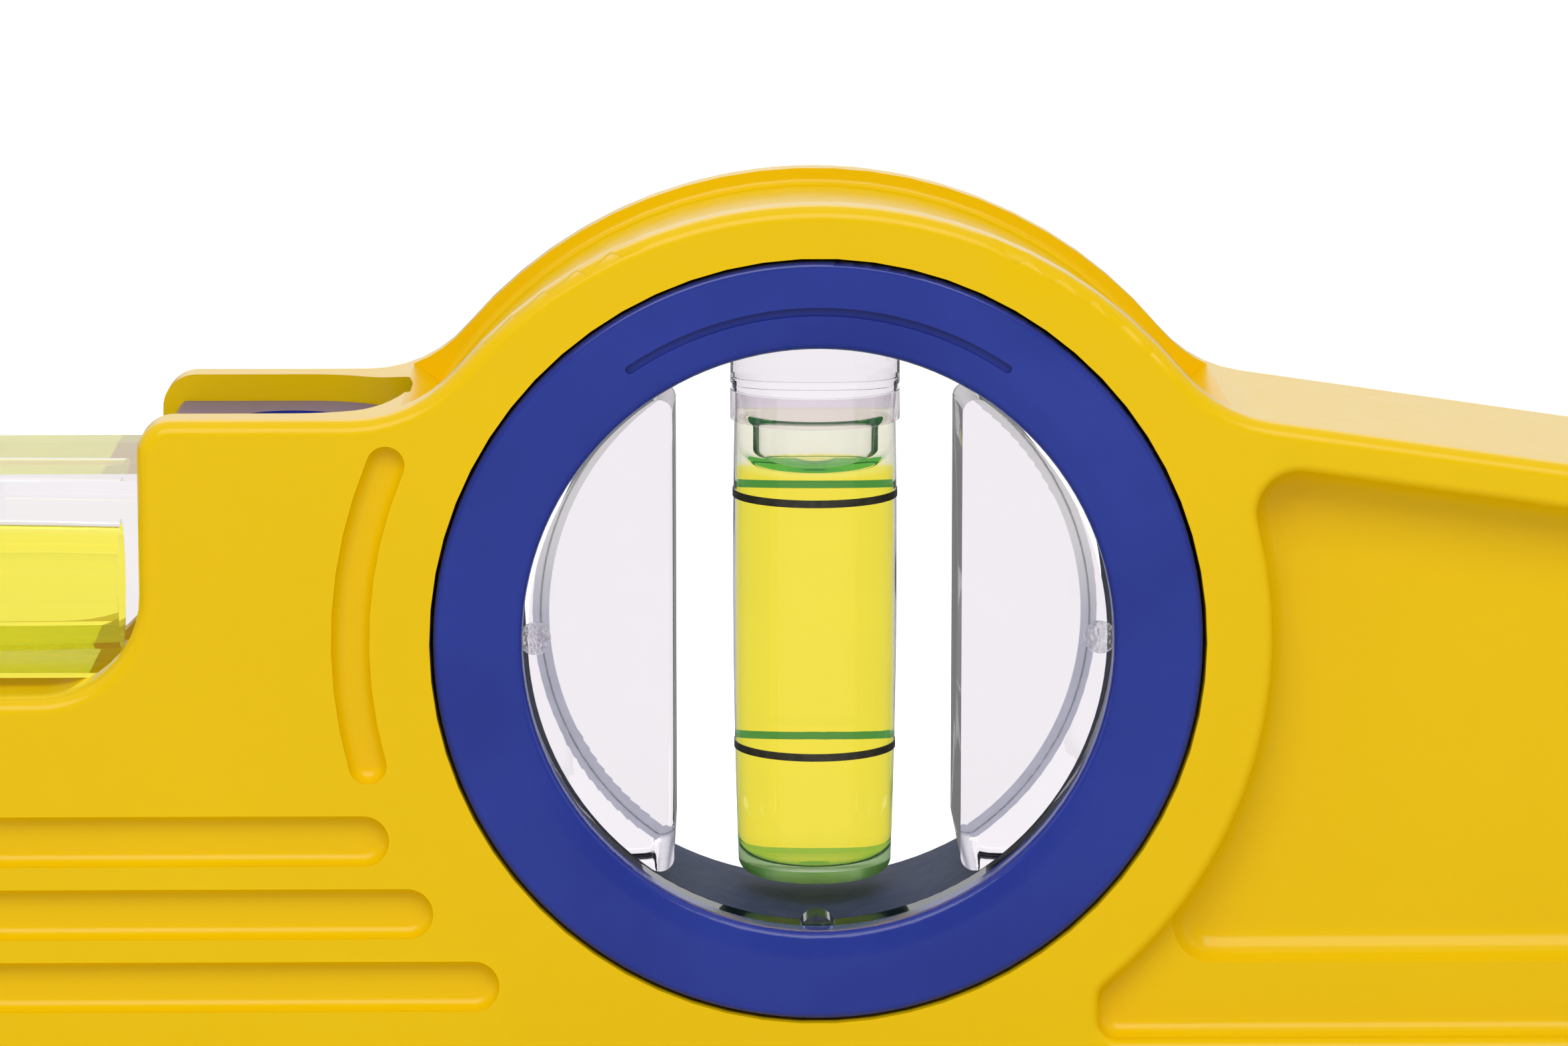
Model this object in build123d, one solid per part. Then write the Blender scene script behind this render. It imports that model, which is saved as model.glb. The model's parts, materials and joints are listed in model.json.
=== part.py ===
from build123d import *
import math
import os

# Torpedo spirit level: a die-cast body with a level vial in its top window and two
# round vial units, one plumb and one at 45 degrees. Lengths are in millimetres.
# +X runs along the level, -Y is its front face, +Z is up. The origin is the middle
# of the base. Every round unit is modelled about its own centre, then placed.

# ---- casting, overall
body_length = 250.0
body_thickness = 22.0
ring_offset = 56.0          # middle of the level to the centre of a round unit
ring_height = 27.5          # base to the centre of a round unit
wall_top = 40.6             # base to the flat top beside the window
nose_slope = 8.2            # fall of the top towards each end, degrees
nose_start = 24.5           # ring centre to where the falling top is as high as the wall
tip_radius = 6.0
heel_radius = 2.0
edge_radius = 0.9           # rounding of the casting's outer edges

# ---- humps over the round units
crest_rim = 3.0             # metal between the bore and the crest
hump_drop = 2.0             # hump centre below the ring centre
hump_blend = 8.0            # concave radius where a hump meets the flat top
channel_lip = 2.4           # rim on each side of the shallow channel
channel_depth = 1.0
channel_half_angle = 57.0
channel_corner = 0.45

# ---- window, slot and level vial
window_width = 33.7
window_corner = 6.0
window_lip_radius = 2.0
window_drop = 0.6           # window sill below the vial block
block_height = 12.0
block_depth = 15.4
block_overlap = 1.0         # block hidden behind the wall at each end
block_drop = 3.6            # wall top down to the top of the block
block_edge = 0.35
slot_clearance = 0.2
slot_end_wall = 1.35        # metal between the slot and the round bore
slot_end_radius = 6.6
level_axis_drop = 1.4       # vial bore below the middle of the block
level_bore_radius = 4.0
level_barrel_fall = 0.25    # the bore narrows by this much to each end
plug_thickness = 1.5
plug_recess = 1.2           # plug face inside the end of the block
plug_step = 0.2            # plug seat wider than the bore's end
plug_edge = 0.2
level_bubble_length = 10.6
level_bubble_width = 5.0
level_bubble_height = 2.4
level_bubble_corner = 1.1
level_bubble_gap = 0.2      # bubble to the bore, room for the barrel as it slides
line_spacing_level = 12.8
line_width = 0.45
ink_thickness = 0.05

# ---- retainers and their screws
retainer_top_gap = 1.55     # retainer face below the wall top
retainer_gap = 0.1          # play of a retainer in the slot
retainer_edge = 0.3
counterbore_radius = 3.5
counterbore_depth = 7.0
screw_shank_radius = 1.5
screw_head_radius = 2.8
screw_head_height = 2.0
screw_head_edge = 0.4
screw_length = 13.0         # under the head
screw_end_gap = 1.0
screw_hole_gap = 0.15
screw_recess_radius = 1.3
screw_recess_depth = 1.2
screw_recess_sides = 6

# ---- grip grooves and nose panels
groove_count = 3
groove_width = 3.0
groove_pitch = 4.33
groove_first_drop = 11.5    # ring centre down to the first groove
groove_depth = 0.95
groove_ring_wall = 4.95     # round bore to the groove ends
groove_floor_share = 0.85   # rounding of a groove's floor, as a share of its depth
arc_groove_wall = 4.55      # round bore to the middle of the arc groove
arc_groove_width = 2.2
arc_groove_up = 23.0        # degrees above the level of the ring centre
arc_groove_down = 15.1
panel_ring_wall = 3.85      # round bore to the panel
panel_top_wall = 2.6
panel_base = 3.9            # base to the lower edge of the panel
panel_step_height = 4.2     # height of the shallow step along the base
panel_end_wall = 4.5
panel_corner = 2.4
panel_depth = 3.4
panel_fillet = 2.0          # where the walls of the deep field meet its floor
panel_step_depth = 1.9
panel_step_fillet = 1.0
panel_foot = 1.4            # near end of the step, inside the corner of the deep field
panel_foot_corner = 1.2
panel_rim = 0.6             # rounding of the panel's outer edge

# ---- base
pipe_mouth = 13.0
pipe_floor = 8.6
pipe_depth = 3.0
magnet_radius = 4.0
magnet_thickness = 3.0
magnet_recess = 0.3
magnet_gap = 0.05
magnet_edge = 0.3
magnet_inner = 26.0         # middle of the level to the inner magnets
magnet_end = 27.0           # end of the level to the outer magnets

# ---- round vial unit
bezel_radius = 22.25
bezel_gap = 0.2             # bezel to casting
bezel_recess = 0.2          # bezel face below the casting face
bezel_width = 5.15          # outer rim to the opening
bezel_dish_width = 3.25     # outer rim to where the face starts to dish
bezel_dish = 0.35
bezel_lip_thickness = 1.9
bezel_edge = 0.4
bezel_lip_edge = 0.55
bezel_wall = 1.9
rib_depth = 8.5             # casting face to the rib inside the round bore
rib_width = 1.6
rib_height = 1.2
rear_lip = 1.85             # rear opening inside the skirt
rear_flare = 0.3
rear_flare_depth = 0.5
key_groove_inset = 2.9      # outer rim to the groove in the bezel's face
key_groove_width = 0.5
key_groove_depth = 0.35
key_groove_half_angle = 34.0
carrier_step = 0.2          # carrier's opening wider than the bezel's
carrier_length = 2.6
carrier_gap = 0.05
side_boss_radius = 0.95
side_boss_reach = 0.45      # front of the carrier to the back of a side boss
side_boss_overlap = 0.05    # of a side boss with the carrier's ring
base_boss_radius = 1.1
base_boss_reach = 2.0
base_boss_drop = 0.3        # middle of the base boss outside the carrier opening
sleeve_depth = 12.0         # front of the carrier to the back of the rear bezel's sleeve
prism_inner_back = 8.2      # vial axis to a prism's inner face
prism_inner_front = 8.35
prism_back_gap = 1.05       # carrier opening to a prism's outer face
prism_front_gap = 0.45
prism_corner = 0.85
prism_back_edge = 0.6

# ---- tube vial of a round unit
tube_radius = 4.85
tube_wall = 1.42
tube_head_room = 3.95       # carrier opening to the top of the tube
tube_foot_room = 1.5        # carrier opening to the foot of the tube
tube_widest = 5.0           # above the ring centre
tube_top_narrowing = 0.12
tube_foot_narrowing = 0.3
tube_foot_radius = 0.9
tube_floor = 0.9
tube_floor_radius = 1.1
pip_radius = 0.68
pip_height = 0.3
stopper_thickness = 1.35
stopper_edge = 0.15
socket_wall = 0.13          # lip of the socket round the tube
socket_lip_height = 1.75
socket_gap = 0.04
socket_neck = 0.12          # depth of the small groove above the lip
socket_neck_height = 0.3
socket_neck_rise = 0.1
spigot_radius = 2.4
spigot_length = 1.8
tube_bubble_height = 3.2
tube_bubble_corner = 1.3
tube_bubble_rim = 0.5
tube_bubble_gap = 0.14      # bubble to the stopper
tube_bubble_film = 0.06     # spirit between the bubble and the tube's wall
line_upper = 7.2            # from the ring centre
line_lower = -7.95

# ---- places that follow from the sizes above
half_length = body_length / 2
half_thickness = body_thickness / 2
ring_bore = bezel_radius + bezel_gap
hump_radius = ring_bore + crest_rim + hump_drop
hump_height = ring_height - hump_drop
slot_half_width = block_depth / 2 + slot_clearance / 2
slot_corner = min(slot_end_radius, 0.99 * slot_half_width)
slot_end = ring_offset - ring_bore - slot_end_wall
block_bottom = wall_top - block_drop - block_height
block_half_length = window_width / 2 + block_overlap
block_top = block_bottom + block_height
level_axis = block_bottom + block_height / 2 - level_axis_drop
plug_outer = block_half_length - plug_recess
plug_inner = plug_outer - plug_thickness
plug_radius = level_bore_radius - level_barrel_fall + plug_step
retainer_start = block_half_length + retainer_gap / 2
retainer_end = slot_end - retainer_gap
retainer_top = wall_top - retainer_top_gap
magnet_ceiling = pipe_depth + magnet_recess + magnet_thickness
screw_place = (retainer_start + retainer_end) / 2
counterbore_floor = retainer_top - counterbore_depth
bezel_face = half_thickness - bezel_recess
bezel_back = bezel_face - bezel_lip_thickness
bezel_opening = bezel_radius - bezel_width
skirt_inner = bezel_radius - bezel_wall
rear_opening = skirt_inner - rear_lip
rib_front = -half_thickness + rib_depth
rib_back = rib_front + rib_width
key_groove_radius = bezel_radius - key_groove_inset
carrier_opening = bezel_opening + carrier_step
carrier_outer = skirt_inner - carrier_gap
carrier_front = -bezel_back
carrier_back = carrier_front + carrier_length
sleeve_back = carrier_front + sleeve_depth
prism_front = carrier_front + side_boss_reach
tube_top = carrier_opening - tube_head_room     # heights are from the ring centre
tube_bottom = tube_foot_room - carrier_opening
tube_bore = tube_radius - tube_wall
bore_top = tube_top - stopper_thickness
bore_bottom = tube_bottom + tube_floor


def plate(outline, y_low, y_high):
    """A flat piece of this X-Z outline, between two depths."""
    return extrude(Plane.XZ.offset(-y_high) * outline, amount=y_high - y_low, dir=(0, -1, 0))


def turned_about_y(corners):
    """A ring turned about the Y axis from corners (radius, y)."""
    return revolve(Plane.XY * Polygon(*corners, align=None), Axis.Y)


def turned_about_z(outline):
    """A round piece turned about the Z axis from an X-Z outline at X >= 0."""
    return revolve(Plane.XZ * outline, Axis.Z)


def on_circle(radius, angle):
    """A point on a circle about the origin, with its angle in degrees from +X."""
    turn = math.radians(angle)
    return (radius * math.cos(turn), radius * math.sin(turn))


def both_ends(shape):
    """The shape and its mirror image at the other end of the level."""
    return shape + mirror(shape, Plane.YZ)


def both_faces(shape):
    """The shape and its mirror image on the other face of the level."""
    return shape + mirror(shape, Plane.XZ)


# ------------------------------------------------------------------ casting


def falling_top(x, wall=0.0):
    """Height of the falling top at this distance from the ring centre, less a wall."""
    slope = math.radians(nose_slope)
    return wall_top - (x - nose_start) * math.tan(slope) - wall / math.cos(slope)


def edges_across(solid, x, z):
    """The edges that run across the thickness at this place, on both ends of the level."""
    return [e for e in solid.edges().filter_by(Axis.Y)
            if abs(abs(e.center().X) - x) < 0.01 and abs(e.center().Z - z) < 0.01]


def hump_blend_area(x_from, z_from, fall):
    """The concave corner between the hump and a straight top line, seen from the front.

    Measured from the hump's centre, the line passes through (x_from, z_from) and
    falls by `fall` for each millimetre outwards."""
    size = math.hypot(1, fall)
    across = Vector(fall / size, 1 / size)
    along = Vector(1 / size, -fall / size)
    level = across.dot(Vector(x_from, z_from))
    reach = hump_radius + hump_blend
    corner = across * level + along * math.sqrt(hump_radius ** 2 - level ** 2)
    centre = across * (level + hump_blend) + along * math.sqrt(reach ** 2 - (level + hump_blend) ** 2)
    on_hump = centre * (hump_radius / reach)
    on_line = centre - across * hump_blend
    inside = corner * 0.9
    corners = [(point.X, point.Y) for point in (inside, on_line, centre, on_hump)]
    return Polygon(*corners, align=None) - Pos(centre.X, centre.Y) * Circle(hump_blend)


def casting_blank():
    """The solid outline of the casting: base, tapered ends, two humps and the window notch."""
    tip_top = falling_top(half_length - ring_offset)
    corners = [(0, 0), (half_length, 0), (half_length, tip_top), (ring_offset, falling_top(0)),
               (ring_offset, wall_top), (0, wall_top)]
    right = Polygon(*corners, align=None)
    rise = wall_top - hump_height
    fall = math.tan(math.radians(nose_slope))
    hump = Circle(hump_radius) - Pos(0, -hump_radius) * Rectangle(4 * hump_radius, 2 * hump_radius)
    hump += hump_blend_area(nose_start, rise, fall)
    hump += mirror(hump_blend_area(0, rise, 0), Plane.YZ)
    sill = block_bottom - window_drop
    notch = Pos(0, sill) * Rectangle(window_width, wall_top, align=(Align.CENTER, Align.MIN))
    blank = plate(right + Pos(ring_offset, hump_height) * hump, -half_thickness, half_thickness)
    blank = both_ends(blank) - plate(notch, -body_thickness, body_thickness)
    blank = fillet(edges_across(blank, half_length, tip_top), tip_radius)
    blank = fillet(edges_across(blank, half_length, 0), heel_radius)
    blank = fillet(edges_across(blank, window_width / 2, sill), window_corner)
    return fillet(edges_across(blank, window_width / 2, wall_top), window_lip_radius)


def slot():
    """The long slot between the two walls, with rounded ends, that holds the level vial."""
    plan = RectangleRounded(2 * slot_end, 2 * slot_half_width, slot_corner)
    return extrude(Pos(0, 0, block_bottom) * plan, amount=wall_top)


def round_bore():
    """The bore for one round unit, with a rib inside that both bezels close on."""
    bore = plate(Circle(ring_bore), -body_thickness, body_thickness)
    rib = plate(Circle(ring_bore) - Circle(ring_bore - rib_height), rib_front, rib_back)
    return Pos(ring_offset, 0, ring_height) * (bore - rib)


def hump_channel():
    """The shallow channel over one hump, between two raised rims."""
    reach = 2 * hump_radius
    sector = Polygon((0, 0), on_circle(reach, 90 + channel_half_angle), (0, reach),
                     on_circle(reach, 90 - channel_half_angle), align=None)
    band = sector - Circle(hump_radius - channel_depth)
    half_width = half_thickness - channel_lip
    cut = plate(Pos(ring_offset, hump_height) * band, -half_width, half_width)
    floor_edges = [e for e in cut.edges() if e.geom_type == GeomType.CIRCLE]
    return fillet(floor_edges, channel_corner)


def rounded_groove(outline, depth):
    """A groove cutter of this outline in the front face, with rounded inner edges."""
    cut = plate(outline, -half_thickness - depth, -half_thickness + depth)
    floor = cut.faces().sort_by(Axis.Y)[-1]
    return fillet(floor.edges(), groove_floor_share * depth)


def grip_grooves():
    """Straight grooves between the two round units; their ends follow the rings."""
    cuts = []
    for row in range(groove_count):
        drop = groove_first_drop + row * groove_pitch
        end = ring_offset - math.sqrt((ring_bore + groove_ring_wall) ** 2 - drop ** 2)
        bar = Pos(0, ring_height - drop) * SlotOverall(2 * end, groove_width)
        cuts.append(rounded_groove(bar, groove_depth))
    return cuts


def arc_groove():
    """The curved groove beside a round unit, on its window side."""
    start = 180 - arc_groove_up
    radius = ring_bore + arc_groove_wall
    path = CenterArc((ring_offset, ring_height), radius, start, arc_groove_up + arc_groove_down)
    return rounded_groove(SlotArc(path, arc_groove_width), groove_depth)


def panel_stage(near, bottom, depth, foot_corner, rounding):
    """One stage of the sunken panel, from its near end: concave beside the ring, sloping on top."""
    left = ring_offset + near
    right = half_length - panel_end_wall
    top_left = falling_top(near, panel_top_wall)
    top_right = falling_top(right - ring_offset, panel_top_wall)
    area = Polygon((left, bottom), (right, bottom), (right, top_right), (left, top_left), align=None)
    area -= Pos(ring_offset, ring_height) * Circle(ring_bore + panel_ring_wall)
    area = area.faces().sort_by(SortBy.AREA)[-1]
    stage = plate(area, -half_thickness - panel_depth, -half_thickness + depth)
    corners = stage.edges().filter_by(Axis.Y)
    foot = [e for e in corners if e.center().X < right - 1 and e.center().Z < ring_height]
    stage = fillet(foot, foot_corner)
    corners = stage.edges().filter_by(Axis.Y)
    others = [e for e in corners if e.center().X > right - 0.01 or e.center().Z > ring_height]
    stage = fillet(others, panel_corner)
    return fillet(stage.faces().sort_by(Axis.Y)[-1].edges(), rounding)


def nose_panel():
    """The two-stage recess of one end: a shallow step along the base and the deep field."""
    ledge = panel_base + panel_step_height
    field_corner = math.sqrt((ring_bore + panel_ring_wall) ** 2 - (ring_height - ledge) ** 2)
    near = field_corner - panel_foot
    return (panel_stage(near, panel_base, panel_step_depth, panel_foot_corner, panel_step_fillet)
            + panel_stage(0, ledge, panel_depth, panel_corner, panel_fillet))


def rounded_rim(cut):
    """The cutter with its mouth flared, so that it leaves a rounded rim in the front face."""
    wall = plate(Rectangle(2 * body_length, 2 * body_length), -half_thickness, panel_depth)
    left = wall - cut
    mouth = left.faces().sort_by(Axis.Y)[0].inner_wires()[0]
    return wall - fillet(mouth.edges(), panel_rim)


def pipe_groove():
    """The tapered groove along the base that seats on a pipe."""
    mouth = pipe_mouth / 2
    floor = pipe_floor / 2
    section = Polygon((-mouth, 0), (mouth, 0), (floor, pipe_depth), (-floor, pipe_depth), align=None)
    return extrude(Plane.YZ * section, amount=half_length, both=True)


def magnet_places():
    """Places of the base magnets along the level."""
    return [side * offset for side in (-1, 1) for offset in (magnet_inner, half_length - magnet_end)]


def upright(radius, low, high):
    """A round bar on the Z axis between two heights."""
    return Pos(0, 0, low) * Cylinder(radius, high - low, align=(Align.CENTER, Align.CENTER, Align.MIN))


def body_casting():
    """The yellow die-cast body with every pocket, bore, groove and screw hole."""
    body = casting_blank()
    rims = [e for e in body.edges() if abs(abs(e.center().Y) - half_thickness) < 0.01]
    body = fillet(rims, edge_radius)
    body -= slot()
    body -= both_ends(round_bore())
    body -= both_ends(hump_channel())
    for cut in grip_grooves() + [both_ends(arc_groove())]:
        body -= both_faces(cut)
    body -= both_faces(both_ends(rounded_rim(nose_panel())))
    body -= pipe_groove()
    for place in magnet_places():
        body -= Pos(place, 0, 0) * upright(magnet_radius + magnet_gap, 0, magnet_ceiling)
    thread = upright(screw_shank_radius, counterbore_floor - screw_length - screw_end_gap, wall_top)
    return body - both_ends(Pos(screw_place, 0, 0) * thread)


def base_magnets():
    """Disc magnets pressed into the floor of the pipe groove."""
    disc = upright(magnet_radius, magnet_ceiling - magnet_thickness, magnet_ceiling)
    disc = chamfer(disc.edges(), magnet_edge)
    return Compound([Pos(place, 0, 0) * disc for place in magnet_places()])


# ------------------------------------------------------------- level vial


def lying(radius, low, high):
    """A round bar along X at the height of the vial's axis, between two ends."""
    bar = Cylinder(radius, high - low, align=(Align.CENTER, Align.CENTER, Align.MIN))
    return Pos(low, 0, level_axis) * Rot(Y=90) * bar


def barrel_bore():
    """The level vial's bore: a barrel, widest in the middle, ending at the plugs."""
    end_radius = level_bore_radius - level_barrel_fall
    left = (-plug_inner, end_radius)
    right = (plug_inner, end_radius)
    sides = Polyline(left, (-plug_inner, 0), (plug_inner, 0), right)
    outline = make_face(sides + ThreePointArc(right, (0, level_bore_radius), left))
    return Pos(0, 0, level_axis) * revolve(outline, Axis.X)


def block_core(skin):
    """The vial block's outer shape, grown by a skin."""
    core = Box(2 * block_half_length, block_depth + 2 * skin, block_height + 2 * skin)
    core = chamfer(core.edges().filter_by(Axis.X), block_edge)
    return Pos(0, 0, block_bottom + block_height / 2) * core


def level_block():
    """The clear block with the barrel bore and a plug seat at each end."""
    return block_core(0) - barrel_bore() - both_ends(lying(plug_radius, plug_inner, window_width))


def level_plug():
    """The clear plug that closes the right end of the level vial."""
    plug = lying(plug_radius, plug_inner, plug_outer)
    return chamfer(plug.edges().group_by(Axis.X)[-1], plug_edge)


def level_bubble():
    """The air bubble: an oval drop with a round underside, its top following the bore."""
    radius = level_bore_radius - level_bubble_gap
    plan = Ellipse(level_bubble_length / 2, level_bubble_width / 2)
    drop = extrude(Pos(0, 0, level_axis + radius - level_bubble_height) * plan, amount=radius)
    drop = fillet(drop.edges().group_by(Axis.Z)[0], level_bubble_corner)
    return drop & lying(radius, -level_bubble_length, level_bubble_length)


def level_spirit():
    """The spirit that fills the level vial round its bubble."""
    return barrel_bore() - level_bubble()


def level_lines():
    """Two printed lines over the front, top and back of the block."""
    skin = block_core(ink_thickness) - block_core(0)
    band = Pos(0, 0, block_top) * Box(line_width, 2 * block_depth, block_height)
    strip = skin & band
    return Compound([Pos(side * line_spacing_level / 2, 0, 0) * strip for side in (-1, 1)])


def retainer():
    """The blue plastic keeper that fills the slot beyond the right end of the block."""
    half_width = slot_half_width - retainer_gap
    plan = RectangleRounded(2 * retainer_end, 2 * half_width, slot_corner - retainer_gap)
    plan &= Pos(retainer_start, 0) * Rectangle(slot_end, 4 * half_width, align=(Align.MIN, Align.CENTER))
    keeper = extrude(Pos(0, 0, block_bottom) * plan, amount=retainer_top - block_bottom)
    keeper = chamfer(keeper.faces().sort_by(Axis.Z)[-1].edges(), retainer_edge)
    keeper -= Pos(screw_place, 0, 0) * upright(counterbore_radius, counterbore_floor, wall_top)
    return keeper - Pos(screw_place, 0, 0) * upright(screw_shank_radius + screw_hole_gap, 0, wall_top)


def retainer_screw():
    """A socket screw with its axis on Z and its head's seat at the counterbore floor."""
    shank = upright(screw_shank_radius, counterbore_floor - screw_length, counterbore_floor)
    head_top = counterbore_floor + screw_head_height
    head = upright(screw_head_radius, counterbore_floor, head_top)
    head = fillet(head.edges().group_by(Axis.Z)[-1], screw_head_edge)
    recess = Pos(0, 0, head_top) * RegularPolygon(screw_recess_radius, screw_recess_sides)
    return shank + head - extrude(recess, amount=-screw_recess_depth)


def retainer_screws():
    """Both retainer screws."""
    return Compound([Pos(side * screw_place, 0, 0) * retainer_screw() for side in (-1, 1)])


# --------------------------------------------------------- round vial unit


def rim_edges(ring, radius, y):
    """The round edge of a turned ring at this radius and depth."""
    return [e for e in ring.edges().filter_by(GeomType.CIRCLE)
            if abs(e.radius - radius) < 0.01 and abs(e.center().Y - y) < 0.01]


def bezel_front():
    """The blue front ring: a dished face, a thin inner lip and a skirt."""
    face = -bezel_face
    lip_face = face + bezel_dish
    back = -bezel_back
    ring = turned_about_y([(bezel_opening, lip_face), (bezel_radius - bezel_dish_width, face),
                           (bezel_radius, face), (bezel_radius, rib_front), (skirt_inner, rib_front),
                           (skirt_inner, back), (bezel_opening, back)])
    ring = fillet(rim_edges(ring, bezel_radius, face), bezel_edge)
    ring = fillet(rim_edges(ring, bezel_opening, lip_face), bezel_lip_edge)
    path = CenterArc((0, 0), key_groove_radius, 90 - key_groove_half_angle, 2 * key_groove_half_angle)
    return ring - plate(SlotArc(path, key_groove_width), face - key_groove_depth, face + key_groove_depth)


def bezel_rear():
    """The blue rear ring with the wider opening; its sleeve backs the carrier and holds the prisms."""
    ring = turned_about_y([(carrier_opening, carrier_back), (carrier_outer, carrier_back),
                           (carrier_outer, rib_back), (bezel_radius, rib_back), (bezel_radius, bezel_face),
                           (rear_opening + rear_flare, bezel_face),
                           (rear_opening, bezel_face - rear_flare_depth),
                           (rear_opening, sleeve_back), (carrier_opening, sleeve_back)])
    ring = fillet(rim_edges(ring, bezel_radius, bezel_face), bezel_edge)
    return ring - upright(spigot_radius + socket_gap, tube_top, carrier_opening + spigot_length)


def carrier():
    """The clear flange behind the front bezel, with three round moulding bosses."""
    ring = turned_about_y([(carrier_opening, carrier_front), (carrier_outer, carrier_front),
                           (carrier_outer, carrier_back), (carrier_opening, carrier_back)])
    side = Pos(carrier_opening + side_boss_overlap - side_boss_radius, 0) * Circle(side_boss_radius)
    ring += both_ends(plate(side, carrier_front, prism_front))
    base = Pos(0, -carrier_opening - base_boss_drop) * Circle(base_boss_radius)
    return ring + plate(base, carrier_front, carrier_front + base_boss_reach)


def prism_right():
    """The clear light block beside the vial, wider at its front than at its back."""
    front = carrier_opening - prism_front_gap
    back = carrier_opening - prism_back_gap
    cone = turned_about_y([(0, prism_front), (front, prism_front), (back, sleeve_back), (0, sleeve_back)])
    side = Polygon((prism_inner_front, prism_front), (prism_inner_back, sleeve_back),
                   (2 * front, sleeve_back), (2 * front, prism_front), align=None)
    block = cone & extrude(side, amount=2 * front, both=True)
    depth = sleeve_back - prism_front
    corners = [e for e in block.edges() if e.bounding_box().size.Y > 0.9 * depth]
    block = fillet(corners, prism_corner)
    return fillet(block.faces().sort_by(Axis.Y)[-1].edges(), prism_back_edge)


def tube_outline(skin):
    """Half of the vial tube's outer outline, grown by a skin."""
    top = tube_radius - tube_top_narrowing + skin
    foot = tube_radius - tube_foot_narrowing + skin
    low = tube_bottom - skin
    corner = tube_foot_radius + skin
    sides = Spline((top, tube_top), (tube_radius + skin, tube_widest), (foot, low + corner))
    bend = RadiusArc((foot, low + corner), (foot - corner, low), corner)
    return make_face(Line((0, low), (0, tube_top)) + Line((0, tube_top), (top, tube_top)) + sides + bend
                     + Line((foot - corner, low), (0, low)))


def tube_bore_solid():
    """The round space inside the tube, between its floor and the stopper."""
    outline = Rectangle(tube_bore, bore_top - bore_bottom, align=(Align.MIN, Align.MIN))
    outline = Pos(0, bore_bottom) * outline
    foot = [v for v in outline.vertices() if v.X > 0.01 and v.Y < bore_bottom + 0.01]
    return turned_about_z(fillet(foot, tube_floor_radius))


def vial_tube():
    """The clear tube, closed at its foot, with a small moulding pip."""
    tube = turned_about_z(tube_outline(0))
    pip = Pos(0, 0, tube_bottom) * Cone(pip_radius / 2, pip_radius, pip_height,
                                        align=(Align.CENTER, Align.CENTER, Align.MAX))
    return tube + pip - tube_bore_solid() - upright(tube_bore, bore_top, 2 * tube_top)


def vial_stopper():
    """The clear disc that closes the top of the tube."""
    disc = upright(tube_bore, bore_top, tube_top)
    return chamfer(disc.edges().group_by(Axis.Z)[-1], stopper_edge)


def vial_bubble():
    """The air bubble at the top of the tube: flat on top, round underneath."""
    top = bore_top - tube_bubble_gap
    low = top - tube_bubble_height
    radius = tube_bore - tube_bubble_film
    outline = Pos(0, low) * Rectangle(radius, tube_bubble_height, align=(Align.MIN, Align.MIN))
    lower = [v for v in outline.vertices() if v.X > 0.01 and v.Y < low + 0.01]
    outline = fillet(lower, tube_bubble_corner)
    upper = [v for v in outline.vertices() if v.X > 0.01 and v.Y > top - 0.01]
    return turned_about_z(fillet(upper, tube_bubble_rim))


def vial_spirit():
    """The spirit in the tube round its bubble."""
    return tube_bore_solid() - vial_bubble()


def vial_lines():
    """Two lines printed round the outside of the tube."""
    skin = turned_about_z(tube_outline(ink_thickness)) - turned_about_z(tube_outline(0))
    bands = []
    for height in (line_upper, line_lower):
        band = skin & Pos(0, 0, height) * Cylinder(2 * tube_radius, line_width)
        bands.append(band.solids()[0])
    return Compound(bands)


def socket():
    """The clear socket that holds the top of the tube, with its spigot in the rear bezel."""
    radius = tube_radius + socket_gap + socket_wall
    lip_bottom = tube_top - socket_lip_height
    neck_low = tube_top + socket_neck_rise
    neck_high = neck_low + socket_neck_height
    post = upright(radius, lip_bottom, 2 * carrier_opening)
    post -= upright(2 * radius, neck_low, neck_high) - upright(radius - socket_neck, neck_low, neck_high)
    post &= plate(Circle(carrier_opening - socket_gap), -body_thickness, body_thickness)
    spigot = upright(spigot_radius, neck_high, carrier_opening + spigot_length)
    return post + spigot - upright(tube_radius + socket_gap, lip_bottom, tube_top)


UNIT_PIECES = {
    "bezel_front": bezel_front,
    "bezel_rear": bezel_rear,
    "carrier": carrier,
    "prism_right": prism_right,
    "prism_left": lambda: mirror(prism_right(), Plane.YZ),
    "socket": socket,
    "vial_tube": vial_tube,
    "vial_stopper": vial_stopper,
    "spirit": vial_spirit,
    "lines": vial_lines,
    "bubble": vial_bubble,
}

UNITS = {
    "plumb": Pos(ring_offset, 0, ring_height),
    "angle": Pos(-ring_offset, 0, ring_height) * Rot(Y=45),
}


def level_pieces():
    """Every piece outside the round units, by node name."""
    keeper = retainer()
    plug = level_plug()
    return {
        "body_casting": body_casting(),
        "base_magnets": base_magnets(),
        "level_block": level_block(),
        "level_plug_right": plug,
        "level_plug_left": mirror(plug, Plane.YZ),
        "level_spirit": level_spirit(),
        "level_bubble": level_bubble(),
        "level_lines": level_lines(),
        "retainer_right": keeper,
        "retainer_left": mirror(keeper, Plane.YZ),
        "retainer_screws": retainer_screws(),
    }


def main():
    """Write one STEP file for each piece."""
    os.makedirs("parts", exist_ok=True)
    pieces = level_pieces()
    for unit, place in UNITS.items():
        for name, make in UNIT_PIECES.items():
            pieces[unit + "_" + name] = place * make()
    for name, piece in pieces.items():
        export_step(piece, "parts/" + name + ".step")


main()
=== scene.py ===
import json
import math

import bmesh
import bpy
from mathutils import Matrix, Vector


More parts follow.
